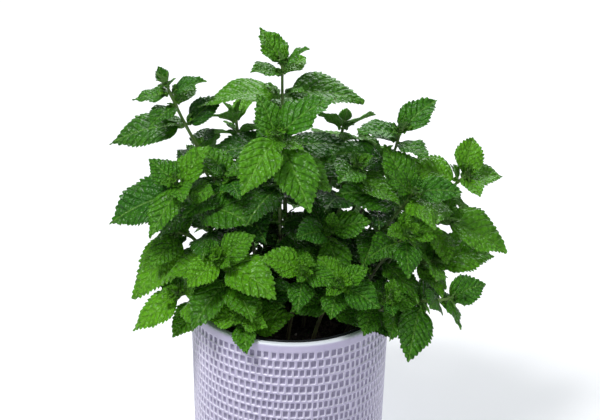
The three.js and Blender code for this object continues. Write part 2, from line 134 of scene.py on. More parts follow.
def read_sprig(node):
    """The leaves and the stem of a sprig, as the CAD solid has them."""
    points, near = welded(node)
    leaves = []
    used = set()
    for tip in range(len(points)):
        found = rings_from(tip, near)
        if not found:
            continue
        rings, stalk = found
        used.update([tip], *rings)
        middle = points[rings[-1]].mean(axis=0)
        along = unit(points[tip] - middle)
        shapes = [ring_shape(points, ring, along) for ring in reversed(rings)]
        base = points[stalk].mean(axis=0)
        leaves.append(
            {
                "line": np.array([base, *[s[0] for s in shapes], points[tip]]),
                "half_widths": [s[1] for s in shapes],
                "normals": np.array([shapes[0][2], *[s[2] for s in shapes], shapes[-1][2]]),
            }
        )
    return leaves, stem_line(points, sorted(set(range(len(points))) - used))


def stem_line(points, candidates):
    """The middle of the stem from its foot to its apex. The CAD stem has a square of corners at
    each joint of its line. Two corners are a square's diagonal if they are that far apart and some
    two others lie a side away from both."""
    rest = points[candidates]
    gaps = np.linalg.norm(rest[:, None] - rest[None], axis=2)
    sides = np.abs(gaps - STEM_SIDE) < SQUARE_TOLERANCE
    diagonals = np.abs(gaps - STEM_SIDE * math.sqrt(2)) < SQUARE_TOLERANCE
    middles = []
    for i, j in np.argwhere(np.triu(diagonals)):
        if np.count_nonzero(sides[i] & sides[j]) >= 2:
            middles.append((rest[i] + rest[j]) / 2)
    middles = np.unique(np.round(middles, 5), axis=0)
    line = [middles[np.argmin(middles[:, 2])]]
    left = [m for m in middles if np.linalg.norm(m - line[0]) > MM]
    while left:
        nearest = min(left, key=lambda m: np.linalg.norm(m - line[-1]))
        line.append(nearest)
        left = [m for m in left if np.linalg.norm(m - nearest) > MM]
    return np.array(line)


# ---- Building meshes ----


def new_mesh(
    name, points, quads, materials, *, material_of=None, bake_uv=None, sharp=None, **floats
):
    """A smooth-shaded object of quads. floats are numbers kept at each vertex for the materials,
    bake_uv a flat place for each quad's corners, and sharp the vertices along sharp edges."""
    mesh = bpy.data.meshes.new(name)
    mesh.vertices.add(len(points))
    mesh.vertices.foreach_set("co", np.asarray(points, np.float32).ravel())
    mesh.loops.add(quads.size)
    mesh.loops.foreach_set("vertex_index", quads.astype(np.int32).ravel())
    mesh.polygons.add(len(quads))
    mesh.polygons.foreach_set("loop_start", np.arange(0, quads.size, 4, dtype=np.int32))
    for material in materials:
        mesh.materials.append(material)
    if material_of is not None:
        mesh.polygons.foreach_set("material_index", material_of.astype(np.int32))
    mesh.update(calc_edges=True)
    for key, numbers in floats.items():
        kind, field = ("FLOAT_VECTOR", "vector") if numbers.ndim == 2 else ("FLOAT", "value")
        layer = mesh.attributes.new(key, kind, "POINT")
        layer.data.foreach_set(field, numbers.astype(np.float32).ravel())
    if bake_uv is not None:
        layer = mesh.uv_layers.new(name="OFBake")
        layer.data.foreach_set("uv", bake_uv.astype(np.float32).ravel())
    if sharp is not None:
        ends = np.zeros(2 * len(mesh.edges), np.int32)
        mesh.edges.foreach_get("vertices", ends)
        edge = mesh.attributes.new("sharp_edge", "BOOLEAN", "EDGE")
        edge.data.foreach_set("value", sharp[ends.reshape(-1, 2)].all(axis=1))
    mesh.validate()
    piece = bpy.data.objects.new(name, mesh)
    bpy.context.scene.collection.objects.link(piece)
    return piece


def grid_quads(rows, columns, closed=False):
    """The quads of a grid of vertices that is numbered row by row. A closed grid meets itself
    round its columns."""
    across = columns if closed else columns - 1
    i, j = np.meshgrid(np.arange(rows - 1), np.arange(across), indexing="ij")
    following = (j + 1) % columns
    this_row = i * columns
    next_row = (i + 1) * columns
    corners = [this_row + j, this_row + following, next_row + following, next_row + j]
    return np.stack(corners, axis=-1).reshape(-1, 4)


def grid_uv(rows, columns, closed=False):
    """Each grid quad's corners on the unit square."""
    across = columns if closed else columns - 1
    i, j = np.meshgrid(np.arange(rows - 1), np.arange(across), indexing="ij")
    u = np.stack([j, j + 1, j + 1, j], axis=-1) / across
    v = np.stack([i, i, i + 1, i + 1], axis=-1) / (rows - 1)
    return np.stack([u, v], axis=-1).reshape(-1, 4, 2)


class Parts:
    """Meshes that are gathered up to make one piece. Each part has its own cells of the piece's
    flat map, so that they don't share a place when it is baked."""

    MARGIN = 0.03  # round each cell, as a share of the cell

    def __init__(self, cells, tallness=1.6):
        """tallness is how many times as high as wide a cell is."""
        self.columns = math.ceil(math.sqrt(cells * tallness))
        self.rows = math.ceil(cells / self.columns)
        self.next_cell = 0
        self.count = 0
        self.lists = {}

    def cell(self, uv):
        """uv moved into the next free cell, with a thin margin round it."""
        column = self.next_cell % self.columns
        row = self.next_cell // self.columns
        self.next_cell += 1
        inside = self.MARGIN + (1 - 2 * self.MARGIN) * uv
        return (inside + [column, row]) / [self.columns, self.rows]

    def add(self, points, quads, **layers):
        layers = {"points": points, "quads": quads + self.count, **layers}
        self.count += len(points)
        for key, values in layers.items():
            self.lists.setdefault(key, []).append(values)

    def piece(self, name, materials):
        merged = {key: np.concatenate(values) for key, values in self.lists.items()}
        return new_mesh(name, merged.pop("points"), merged.pop("quads"), materials, **merged)


# ---- Leaves ----

BLADE_START = 0.6  # where the blade starts, as a share of the way to the first CAD ring
STALK_ROWS = np.array([0.0, 0.35, 0.7])  # shares of the stalk's length
STALK_RADIUS = 0.7 * MM
LEAF_THICKNESS = 0.3 * MM
LARGE_LEAF = 45 * MM  # smaller leaves have finer cells and veins
YOUNG_REACH = 48 * MM  # how far below a growing tip the leaves are paler; lower down they take the dark old colour, which is partly painted shade inside the plant

# The outline and its teeth.
LEAF_WIDTHS = (0.86, 1.0)  # shares of the CAD leaf's width
WIDEST = 0.66  # the outline's power: smaller brings the widest place nearer to the stalk
COLUMN_WIDTH = 1.15 * MM
FEWEST_COLUMNS = 3  # on each side of the midrib
MOST_COLUMNS = 12
FEWEST_TEETH = 6  # on each side
TEETH_PER_METRE = 200
SAMPLES_PER_TOOTH = 4
TOOTH_PROFILE = np.array([0.0, 0.55, 0.9, 1.0])
TOOTH_SHARE = 0.02  # of the leaf's length
SMALLEST_TOOTH = 0.42 * MM
TOOTH_SIZES = (0.45, 1.4)  # shares of the usual size
TOOTH_FOOT = 0.3  # share of a tooth's reach that the next column in follows it by
TOOTH_LEAN = 0.6  # towards the tip

# The lie of the blade. All but the waves' number and the twist are in half widths.
FOLDS = (0.15, 0.32)
YOUNG_FOLD = 0.12
DROOPS = (0.1, 0.34)
WAVES = (0.05, 0.13)
WAVES_ALONG = (1.2, 2.6)
TWIST = 0.25  # radians at the tip

# Veins, and the puffed cells between them.
FEWEST_VEINS = 4  # on each side
VEINS_PER_METRE = 70
VEIN_SLANT = 0.85
VEIN_CURVE = 0.9
VEIN_STAGGER = 0.45  # how far one side's veins are ahead of the other's, in vein spacings
VEIN_DRIFT = 0.16
CELL_WIDTH = 3.6 * MM
PUFF_SHARE = 0.008  # of the leaf's length
SMALLEST_PUFF = 0.03 * MM
GROOVE_DEPTH = 0.3 * MM
GROOVE_WIDTH = 0.7 * MM
RIB_HEIGHT = 0.55 * MM
RIB_WIDTH = 0.6 * MM
VEIN_HEIGHT = 0.12 * MM


def leaf_frames(leaf, shares):
    """Places, directions and upper sides along a leaf's midrib, at shares of its length."""
    knots = distances(leaf["line"])
    at = shares * knots[-1]
    step = 0.2 * MM
    places = curve_through(knots, leaf["line"], at)
    ahead = curve_through(knots, leaf["line"], np.clip(at + step, 0, knots[-1]))
    behind = curve_through(knots, leaf["line"], np.clip(at - step, 0, knots[-1]))
    along = unit(ahead - behind)
    normals = curve_through(knots, leaf["normals"], at)
    normals = unit(normals - np.sum(normals * along, axis=1, keepdims=True) * along)
    return places, along, normals


def leaf_rows(leaf, teeth):
    """How far along the leaf and along its blade each row of its grid lies. The stalk's rows come
    first, at 0 along the blade."""
    knots = distances(leaf["line"])
    start = BLADE_START * knots[1] / knots[-1]
    blade = np.linspace(0, 1, SAMPLES_PER_TOOTH * teeth + 1)
    shares = np.concatenate([STALK_ROWS * start, start + (1 - start) * blade])
    return shares, np.concatenate([np.zeros(len(STALK_ROWS)), blade])


def toothed_outline(u, a, length, widest, teeth):
    """The half width of each row, where the grid lies across the leaf, and how far it leans towards
    the tip at the teeth."""
    outline = widest * np.sin(np.pi * u**WIDEST) ** (0.75 + 0.4 * u)
    half = np.maximum(outline, STALK_RADIUS * (1 - 0.8 * u))
    profile = np.zeros(len(u))
    profile[len(STALK_ROWS) :] = np.resize(TOOTH_PROFILE, len(u) - len(STALK_ROWS))
    tooth_size = (TOOTH_SHARE * length + SMALLEST_TOOTH) * np.sin(np.pi * u) ** 0.4
    sizes = rng.uniform(*TOOTH_SIZES, (teeth + 2, 2))
    uneven = np.repeat(sizes, SAMPLES_PER_TOOTH, axis=0)[: len(u)]
    teeth_out = profile[:, None] * tooth_size[:, None] * uneven
    edge = np.zeros((len(u), len(a)))
    edge[:, 0] = -teeth_out[:, 0]
    edge[:, -1] = teeth_out[:, 1]
    edge[:, 1] = TOOTH_FOOT * edge[:, 0]
    edge[:, -2] = TOOTH_FOOT * edge[:, -1]
    return half, half[:, None] * a[None] + edge, TOOTH_LEAN * np.abs(edge)


def blade_lie(u, a, half, widest, young):
    """How high the blade stands: folded at the midrib, rounded over towards the edges, and wavy."""
    fold = rng.uniform(*FOLDS) + YOUNG_FOLD * young
    droop = rng.uniform(*DROOPS)
    wave = rng.uniform(*WAVES) * widest
    turns = rng.uniform(*WAVES_ALONG)
    phases = rng.uniform(0, 2 * np.pi, 2)[np.where(a < 0, 0, 1)]
    ripple = np.sin(2 * np.pi * turns * u[:, None] + phases[None])
    return half[:, None] * (fold * np.abs(a) - droop * a**2)[None] + wave * ripple * (a**2)[None]


def vein_field(shares, a, x, length):
    """The count of side veins up to each place, how far the blade is puffed up between them, from 0
    to 1, and the rise and fall from cell to cell along a vein, from -1 to 1."""
    pairs = FEWEST_VEINS + round(VEINS_PER_METRE * length)
    far = np.abs(x) / length
    drift = VEIN_DRIFT * np.sin(9 * shares[:, None] + 3 * a[None] + rng.uniform(0, 6))
    stagger = VEIN_STAGGER * np.where(a < 0, 0, 1)[None]
    start = shares[:, None] - VEIN_SLANT * far - VEIN_CURVE * far**2
    veins = pairs * start + stagger + drift
    puffed = np.abs(np.sin(np.pi * veins)) ** 1.3
    spare = 6
    phases = rng.uniform(0, 2 * np.pi, pairs + spare)
    phase = phases[np.clip(np.floor(veins).astype(int), 0, pairs + spare - 1)]
    return veins, puffed, np.sin(2 * np.pi * np.abs(x) / CELL_WIDTH + phase)


def two_sides(z, u, a, x, length, puffed, cells):
    """The heights of the upper side, with its veins and midrib sunken, and of the underside, where
    they stand out."""
    fade = smoothstep(0.0, 0.3, np.abs(a))[None] * smoothstep(0.0, 0.12, u)[:, None]
    fade = fade * (1 - 0.5 * smoothstep(0.8, 1.0, np.abs(a)))[None]
    depth = PUFF_SHARE * length + SMALLEST_PUFF
    upper = z + fade * depth * (puffed - 0.5 + 0.9 * puffed * cells)
    upper -= GROOVE_DEPTH * np.exp(-((x / GROOVE_WIDTH) ** 2)) * smoothstep(0, 0.1, u)[:, None]

    inner = np.sqrt(np.clip(1 - a**2, 0, 1))[None]
    rib = RIB_HEIGHT * (1 - 0.75 * u[:, None]) * np.exp(-((x / RIB_WIDTH) ** 2))
    veins = VEIN_HEIGHT * (1 - puffed) ** 3 * fade
    stalk_depth = 2 * STALK_RADIUS * (1 - smoothstep(0, 0.06, u))[:, None] * inner
    below = upper - (LEAF_THICKNESS * inner**0.5 + rib + veins) - stalk_depth
    return upper + 0.25 * stalk_depth, below


def laid_on(leaf, shares, x, lean, heights):
    """The places of the leaf's sheets, one for each array of heights over its midrib."""
    places, along, normals = leaf_frames(leaf, shares)
    twist = rng.normal(0, TWIST) * shares[:, None]
    side = np.cross(along, normals)
    side, normals = unit(side + twist * normals), unit(normals - twist * side)
    return [
        places[:, None]
        + x[..., None] * side[:, None]
        + height[..., None] * normals[:, None]
        + lean[..., None] * along[:, None]
        for height in heights
    ]


def grow_leaf(parts, leaf, young, tint):
    """Adds a toothed, puckered leaf with its stalk to the parts."""
    length = distances(leaf["line"])[-1]
    widest = max(leaf["half_widths"]) * rng.uniform(*LEAF_WIDTHS)
    teeth = round(FEWEST_TEETH + TEETH_PER_METRE * length)
    half_columns = int(np.clip(round(widest / COLUMN_WIDTH), FEWEST_COLUMNS, MOST_COLUMNS))

    shares, u = leaf_rows(leaf, teeth)
    a = np.linspace(-1, 1, 2 * half_columns + 1)
    half, x, lean = toothed_outline(u, a, length, widest, teeth)
    z = blade_lie(u, a, half, widest, young)
    veins, puffed, cells = vein_field(shares, a, x, length)
    heights = two_sides(z, u, a, x, length, puffed, cells)
    upper, lower = laid_on(leaf, shares, x, lean, heights)

    # The two sheets share the vertices round the edge.
    number = np.arange(x.size).reshape(x.shape)
    inside = np.zeros(x.shape, bool)
    inside[1:-1, 1:-1] = True
    lower_number = number.copy()
    lower_number[inside] = x.size + np.arange(np.count_nonzero(inside))

    def both(values):
        values = np.broadcast_to(values, x.shape)
        return np.concatenate([values.ravel(), values[inside]])

    quads = grid_quads(*x.shape)
    under = lower_number.ravel()[quads][:, ::-1]
    uv = grid_uv(*x.shape)
    finer = np.clip(LARGE_LEAF / length, 1, 3) ** 0.6 / MM
    place = [both(x * finer), both(shares[:, None] * length * finer), both(rng.uniform(0, 50))]
    parts.add(
        np.concatenate([upper.reshape(-1, 3), lower[inside]]),
        np.concatenate([quads, under]),
        bake_uv=np.concatenate([parts.cell(uv), parts.cell(uv)[:, ::-1]]),
        material_of=np.repeat([0, 1], len(quads)),
        sharp=both(~inside),
        place=np.stack(place, axis=1),
        veins=both(veins),
        across=both(np.abs(a)),
        young=both(young),
        tint=both(tint),
    )


SMALL_LEAF_BEND = 0.25  # how far its tip hangs, as a share of its length
BUD_LEAVES = 8
FIRST_BUD_LENGTH = 3.2 * MM
BUD_GROWTH = 0.75 * MM  # how much longer each bud leaf is than the one above it
BUD_SPACING = 0.35 * MM
BUD_SPREAD = 18  # degrees from the stem
BUD_OPENING = 7  # degrees more for each leaf further down
BUD_WIDTH = 0.62  # of its length
TUFT_CHANCE = 0.8
SHORTEST_TUFT = 5 * MM
TUFT_LENGTH = 9 * MM
TUFT_SHARE = 0.4  # of the length of the leaf it sprouts by, where that is more
TUFT_WIDTH = 0.58


def leaf_from(base, direction, upper, length, width):
    """A small leaf of its own, in the form that read_sprig gives."""
    direction = unit(direction)
    shares = np.array([0.0, 0.2, 0.45, 0.75, 1.0])
    bend = -SMALL_LEAF_BEND * length * shares**2
    line = base + direction * (shares * length)[:, None] + unit(upper) * bend[:, None]
    normal = unit(upper - upper @ direction * direction)
    halves = width / 2 * np.array([0.7, 1.0, 0.7])
    normals = np.repeat(normal[None], len(shares), axis=0)
    return {"line": line, "half_widths": list(halves), "normals": normals}


def bud_leaves(stem):
    """The small leaves that are packed round the growing tip."""
    apex = stem[-1]
    axis = unit(stem[-1] - stem[-2])
    first = unit(np.cross(axis, [0.3, 1.0, 0.2]))
    second = np.cross(axis, first)
    leaves = []
    for i in range(BUD_LEAVES):
        angle = math.pi / 4 + i * math.pi / 2 + rng.normal(0, 0.25)
        out = math.cos(angle) * first + math.sin(angle) * second
        spread = math.radians(BUD_SPREAD + BUD_OPENING * i)
        direction = math.cos(spread) * axis + math.sin(spread) * out
        length = FIRST_BUD_LENGTH + BUD_GROWTH * i
        base = apex - BUD_SPACING * i * axis
        leaves.append(leaf_from(base, direction, axis - 0.6 * out, length, BUD_WIDTH * length))
    return leaves


def axil_leaves(leaf, axis):
    """The tuft of small leaves that sprouts between a leaf and the stem."""
    out = unit(leaf["line"][1] - leaf["line"][0])
    across = unit(np.cross(axis, out))
    base = leaf["line"][0] + 0.6 * MM * axis
    longest = max(TUFT_LENGTH, TUFT_SHARE * distances(leaf["line"])[-1])
    leaves = []
    for sign, lift in ((-1, 0.7), (1, 0.7), (0, 1.4)):
        length = rng.uniform(SHORTEST_TUFT, longest)
        direction = out + lift * axis + 0.9 * sign * across
        upper = 0.8 * axis - 0.3 * out
        leaves.append(leaf_from(base, direction, upper, length, TUFT_WIDTH * length))
    return leaves


# How pale and yellow each sprig's leaves are, from 0 to 1, where it stands out from the rest.
USUAL_PALENESS = 0.42
PALENESS = {
    "sprig_top_leaves": 0.38,
    "sprig_front_high_leaves": 0.42,
    "sprig_left_high_leaves": 0.15,
    "sprig_left_rosette_leaves": 0.4,
    "sprig_front_left_leaves": 0.62,
    "sprig_left_low_leaves": 0.8,
    "sprig_left_rim_leaves": 0.85,
    "sprig_front_rim_leaves": 0.7,
    "sprig_right_high_leaves": 0.25,
    "sprig_right_front_high_leaves": 0.35,
    "sprig_right_far_leaves": 0.85,
    "sprig_right_mid_leaves": 0.75,
    "sprig_right_back_leaves": 0.9,
    "sprig_right_low_leaves": 0.6,
    "sprig_back_left_high_leaves": 0.95,
    "sprig_back_right_high_leaves": 0.95,
    "sprig_middle_right_leaves": 0.2,
    "sprig_middle_left_leaves": 0.15,
    "sprig_middle_low_leaves": 0.2,
}
SPRIG_SPREAD = 0.06  # how much it varies by chance from sprig to sprig
LEAF_SPREAD = 0.22
SMALL_LEAF_PALENESS = (0.3, 1.0)


def sprig_leaves(name, leaves, stem, materials):
    """All of a sprig's leaves as one piece."""
    tufts = []
    for leaf in leaves:
        if leaf["line"][0][2] > RIM and rng.uniform() < TUFT_CHANCE:
            nearest = np.argmin(np.linalg.norm(stem - leaf["line"][0], axis=1))
            axis = unit(stem[min(nearest + 1, len(stem) - 1)] - stem[max(nearest - 1, 0)])
            tufts += axil_leaves(leaf, axis)
    buds = bud_leaves(stem)
    parts = Parts(2 * (len(leaves) + len(tufts) + len(buds)))
    sprig_tint = PALENESS.get(name, USUAL_PALENESS) + rng.normal(0, SPRIG_SPREAD)
    for leaf in leaves:
        below = np.linalg.norm(leaf["line"][0] - stem[-1])
        young = float(np.clip(1 - below / YOUNG_REACH, 0, 1))
        tint = float(np.clip(sprig_tint + rng.normal(0, LEAF_SPREAD), 0, 1))
        grow_leaf(parts, leaf, young, tint)
    for leaf in tufts + buds:
        grow_leaf(parts, leaf, 1.0, float(rng.uniform(*SMALL_LEAF_PALENESS)))
    return parts.piece(name, materials)


# ---- Stems ----

SECTION_POINTS = 16
STEM_FOOT_SIDE = 2.7 * MM
STEM_TIP_SIDE = 1.5 * MM
STEM_STEP = 1.6 * MM
FEWEST_STEPS = 12
SWELLING = 0.28  # at a pair of leaves, as a share of the side
SWELLING_REACH = 1.6 * MM


def square_section():
    """A rounded square with slightly hollow sides, one unit from side to side."""
    angles = np.arange(SECTION_POINTS) * 2 * np.pi / SECTION_POINTS
    radius = 0.5 + 0.12 * np.abs(np.sin(2 * angles)) ** 1.5
    return np.stack([radius * np.cos(angles), radius * np.sin(angles)], axis=1)


def sprig_stem(name, stem, leaves, material):
    """The square stem, swollen at each pair of leaves."""
    knots = distances(stem)
    steps = max(FEWEST_STEPS, round(knots[-1] / STEM_STEP))
    at = np.linspace(0, knots[-1], steps)
    middle = curve_through(knots, stem, at)
    along = unit(np.gradient(middle, axis=0))
    first = unit(np.cross(along, [0.35, 1.0, 0.15]))
    second = np.cross(along, first)
    to_leaves = [np.linalg.norm(middle - leaf["line"][0], axis=1) for leaf in leaves]
    nodes = at[np.argmin(to_leaves, axis=1)]
    from_nodes = (at[:, None] - nodes[None]) / SWELLING_REACH
    swelling = SWELLING * np.exp(-(from_nodes**2)).max(axis=1)
    share = at / knots[-1]
    side = (STEM_FOOT_SIDE + (STEM_TIP_SIDE - STEM_FOOT_SIDE) * share) * (1 + swelling)
    side[-1] *= 0.3  # the tip is hidden among the bud leaves
    section = square_section()
    points = middle[:, None] + side[:, None, None] * (
        section[None, :, :1] * first[:, None] + section[None, :, 1:] * second[:, None]
    )
    angles = np.arange(SECTION_POINTS) * 2 * np.pi / SECTION_POINTS
    return new_mesh(
        name,
        points.reshape(-1, 3),
        grid_quads(steps, SECTION_POINTS, closed=True),
        [material],
        bake_uv=grid_uv(steps, SECTION_POINTS, closed=True),
        height=np.repeat(share, SECTION_POINTS),
        swollen=np.repeat(swelling, SECTION_POINTS),
        ridge=np.tile(np.abs(np.sin(2 * angles)), steps),
    )


# ---- Pots ----


def turned(name, outline, around, materials):
    """A piece turned about Z from an outline of (radius, height), with its own flat map."""
    outline = np.asarray(outline, float)
    angles = np.arange(around) * 2 * np.pi / around
    radius = outline[:, :1]
    height = np.repeat(outline[:, 1:], around, axis=1)
    points = np.stack([radius * np.cos(angles), radius * np.sin(angles), height], axis=-1)
    return new_mesh(
        name,
        points.reshape(-1, 3),
        grid_quads(len(outline), around, closed=True),
        materials,
        bake_uv=grid_uv(len(outline), around, closed=True),
    )


def rounded(corners, radius, steps):
    """An outline with its inner corners rounded by arcs of about this radius."""
    corners = [np.asarray(c, float) for c in corners]
    line = [corners[0]]
    for before, corner, after in zip(corners, corners[1:], corners[2:]):
        nearer = min(np.linalg.norm(before - corner), np.linalg.norm(after - corner))
        reach = min(radius, 0.45 * nearer)
        start = corner + unit(before - corner) * reach
        end = corner + unit(after - corner) * reach
        for t in np.linspace(0, 1, steps):
            line.append((1 - t) ** 2 * start + 2 * t * (1 - t) * corner + t**2 * end)
    return np.array([*line, corners[-1]])


_, POT_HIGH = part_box("cover_pot")
RIM = POT_HIGH.z
RIM_RADIUS = POT_HIGH.x
FOOT_RADIUS = RIM_RADIUS - 1.5 * MM
POT_WALL = 5 * MM
POT_FLOOR = 7 * MM
LIP_ROUNDING = 2.4 * MM
LIP_BAND = 5 * MM  # the plain wall that is drawn with the lip
FOOT_ROUNDING = 1.8 * MM
FOOT_BAND = 3.4 * MM
FOOT_RING = 4 * MM
PALE_FROM = 1.6 * MM  # below the rim the lip starts to turn pale
PALE_FULLY = 0.4 * MM
MOST_UNEVEN = 0.12 * MM

ROW_PITCH = 6.1 * MM
FIRST_ROW = 8.7 * MM  # below the rim, to the middle of the recesses
RECESSES_AROUND = [86, 89, 104, 85, 92, 102, 112, 86, 108, 94, 88, 103, 90, 110, 86, 98, 92, 104]
RECESS_DEPTH = 1.6 * MM
RECESS_HEIGHT = 4.7 * MM
RECESS_SHARE = 0.74  # of the room that a recess has round the pot
RECESS_SHIFT = 0.035  # chance differences from one recess to the next, as shares of that room
RECESS_GROWTH = 0.06
RECESS_RAISE = 0.012
DEEPER_ABOVE = 0.55
DEEPER_BEHIND = 0.3
MOST_TILT = math.radians(1.6)  # of a row, half way down the pot
MOST_WANDER = 0.15 * MM
AROUND = 1080
# The heights of the rings that make up a row, from its top down.
ROW_PHASES = np.array([0.43, 0.36, 0.27, 0.0, -0.27, -0.36, -0.43, -0.5])


def recess_field(angles, phase, row):
    """How deep the surface lies, from 0 to 1, at these angles and a height given in rows."""
    count = RECESSES_AROUND[row]
    turn = rng.uniform(0, 1)
    place = angles / (2 * np.pi) * count + turn
    which = np.floor(place).astype(int) % count
    off_middle = place - np.floor(place) - 0.5
    shift = rng.normal(0, RECESS_SHIFT, count)[which]
    size = rng.normal(1, RECESS_GROWTH, count)[which]
    across = np.abs(off_middle + shift) / (RECESS_SHARE * size / 2)
    raised = rng.normal(0, RECESS_RAISE, count)[which]
    up = np.abs(phase[:, None] + raised[None]) / (RECESS_HEIGHT / ROW_PITCH / 2)
    wall_across = 1 - smoothstep(0.7, 1.1, across)
    wall_up = 1 - smoothstep(0.7, 1.12, up)
    # Deeper towards the top of each recess and to one side. The glaze colour follows this depth, so
    # its painted shade is darkest there too.
    deeper = 1 + DEEPER_ABOVE * phase[:, None] - DEEPER_BEHIND * off_middle[None]
    return np.clip(wall_across[None] * wall_up * deeper, 0, None)


def recessed_wall(angles):
    """The heights of the wall's rings and how deep the recesses lie in them, from 0 to 1. Rows tilt
    and wander most half way down the pot."""
    rows = len(RECESSES_AROUND)
    heights = []
    depths = []
    for row in range(rows):
        middle = RIM - FIRST_ROW - row * ROW_PITCH
        half_way = math.sin(math.pi * row / (rows - 1))
        wander = MOST_WANDER * np.sin(2 * angles + rng.uniform(0, 6)) * half_way
        lean = -math.tan(MOST_TILT * half_way) * RIM_RADIUS * np.cos(angles) + wander
        heights.append(middle + ROW_PHASES[:, None] * ROW_PITCH + lean[None])
        depths.append(recess_field(angles, ROW_PHASES, row))
    return np.concatenate(heights), np.concatenate(depths)


def cover_pot(material):
    """The glazed pot: a plain rounded lip and rows of small recesses that wander a little."""
    angles = np.arange(AROUND) * 2 * np.pi / AROUND
    wall, depth = recessed_wall(angles)
    taper = (RIM_RADIUS - FOOT_RADIUS) / RIM
    uneven = MOST_UNEVEN * np.sin(3 * angles + 1.0)[None] * np.sin(40 * wall)
    radius = RIM_RADIUS - taper * (RIM - wall) - RECESS_DEPTH * depth + uneven

    lip = rounded(
        [
            (0, POT_FLOOR),
            (FOOT_RADIUS - POT_WALL, POT_FLOOR),
            (RIM_RADIUS - POT_WALL, RIM),
            (RIM_RADIUS, RIM),
            (RIM_RADIUS - taper * LIP_BAND, RIM - LIP_BAND),
        ],
        LIP_ROUNDING,
        steps=7,
    )
    foot = rounded(
        [(FOOT_RADIUS, FOOT_BAND), (FOOT_RADIUS, 0), (FOOT_RADIUS - FOOT_RING, 0), (0, 0)],
        FOOT_ROUNDING,
        steps=6,
    )

    def ring(radii, height):
        flat = np.stack([radii * np.cos(angles), radii * np.sin(angles)], axis=-1)
        return np.concatenate([flat, np.broadcast_to(height, (AROUND,))[:, None]], axis=1)

    rings = [ring(np.full(AROUND, r), z) for r, z in lip]
    rings += [ring(r, z) for r, z in zip(radius, wall)]
    rings += [ring(np.full(AROUND, r), z) for r, z in foot]
    # The recess depth also darkens the glaze colour: glaze pooling, and painted shade in the
    # recesses.
    pool = np.concatenate([np.zeros((len(lip), AROUND)), depth, np.zeros((len(foot), AROUND))])
    height = np.concatenate([lip[:, 1], wall.mean(axis=1), foot[:, 1]])
    pale = smoothstep(RIM - PALE_FROM, RIM - PALE_FULLY, height)
    count = len(rings)
    return new_mesh(
        "glazed_pot",
        np.concatenate(rings),
        grid_quads(count, AROUND, closed=True)[:, ::-1],
        [material],
        bake_uv=grid_uv(count, AROUND, closed=True)[:, ::-1],
        pool=pool.ravel(),
        lip=np.repeat(pale, AROUND),
    )


NURSERY_FOOT = 44 * MM
NURSERY_WALL = 1.2 * MM
NURSERY_SHOULDER = 2.4 * MM  # how far the rim stands out
NURSERY_BAND = 5 * MM  # the height of the turned-over rim
NURSERY_ROUNDING = 0.8 * MM
NURSERY_AROUND = 144


def nursery_pot(material):
    """The thin plastic pot: a turned-over rim, a shoulder and a tapered wall."""
    low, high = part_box("nursery_pot")
    rim = high.x
    neck = rim - NURSERY_SHOULDER
    shoulder = high.z - NURSERY_BAND
    wall = NURSERY_WALL
    outline = rounded(
        [
            (0, low.z),
            (NURSERY_FOOT, low.z),
            (neck, shoulder),
            (rim, shoulder),
            (rim, high.z),
            (rim - wall, high.z),
            (neck - wall, shoulder - wall),
            (NURSERY_FOOT - wall, low.z + wall),
            (0, low.z + wall),
        ],
        NURSERY_ROUNDING,
        steps=4,
    )
    return turned("nursery_pot_shell", outline, NURSERY_AROUND, [material])


# ---- Soil ----

SOIL_ROWS = 70
SOIL_AROUND = 220
SOIL_FOOT = 43 * MM
SOIL_CROWN = 3 * MM  # how much higher the middle is than the edge
SOIL_SINK = 0.6 * MM  # how far the lumpy surface lies below the CAD one
LUMPS = ((1.1, 14 * MM), (0.8, 5 * MM), (0.5, 2.2 * MM))  # heights in millimetres, and sizes
LUMP_WAVES = 7
CRUMBS = 420
CRUMB_SIZES = (0.7 * MM, 2.2 * MM)
WHITE_EVERY = 14  # one crumb in so many is a white grain


def lumps(points, size, seed):
    """Smooth noise about 0, from a few sine waves of about this size in random directions."""
    waves = np.random.default_rng(seed)
    total = np.zeros(len(points))
    for _ in range(LUMP_WAVES):
        direction = unit(waves.normal(size=3))
        wavelength = size * waves.uniform(0.6, 1.5)
        total += np.sin(points @ direction * 2 * np.pi / wavelength + waves.uniform(0, 6.3))
    return total / 4


def soil(materials):
    """A crumbly surface with loose crumbs and a few white grains on it."""
    low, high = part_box("soil")
    edge = high.x
    crown = high.z
    shares = np.linspace(0, 1, SOIL_ROWS) ** 0.8
    angles = np.arange(SOIL_AROUND) * 2 * np.pi / SOIL_AROUND
    radius = np.append(edge * shares, [edge, SOIL_FOOT, 0])
    height = np.append(crown - SOIL_CROWN * shares**2, [crown - 2 * SOIL_CROWN, low.z, low.z])
    points = np.stack(
        [
            radius[:, None] * np.cos(angles),
            radius[:, None] * np.sin(angles),
            np.repeat(height[:, None], SOIL_AROUND, axis=1),
        ],
        axis=-1,
    ).reshape(-1, 3)
    rough = sum(h * lumps(points, size, seed) for seed, (h, size) in enumerate(LUMPS, start=1))
    top = np.repeat(np.arange(len(radius)) < SOIL_ROWS, SOIL_AROUND)
    points[:, 2] += np.where(top, rough * MM - SOIL_SINK, 0)
    parts = Parts(2 + CRUMBS, tallness=1)
    rows = len(radius)
    quads = grid_quads(rows, SOIL_AROUND, closed=True)[:, ::-1]
    parts.add(
        points,
        quads,
        bake_uv=parts.cell(grid_uv(rows, SOIL_AROUND, closed=True)[:, ::-1]),
        material_of=np.zeros(len(quads)),
    )
    for i in range(CRUMBS):
        far = edge * 0.96 * math.sqrt(rng.uniform())
        angle = rng.uniform(0, 2 * math.pi)
        size = rng.uniform(*CRUMB_SIZES)
        top = crown - SOIL_CROWN * (far / edge) ** 2 + 0.1 * MM
        centre = np.array([far * math.cos(angle), far * math.sin(angle), top])
        add_crumb(parts, centre, size, white=i % WHITE_EVERY == 0)
    return parts.piece("potting_soil", materials)


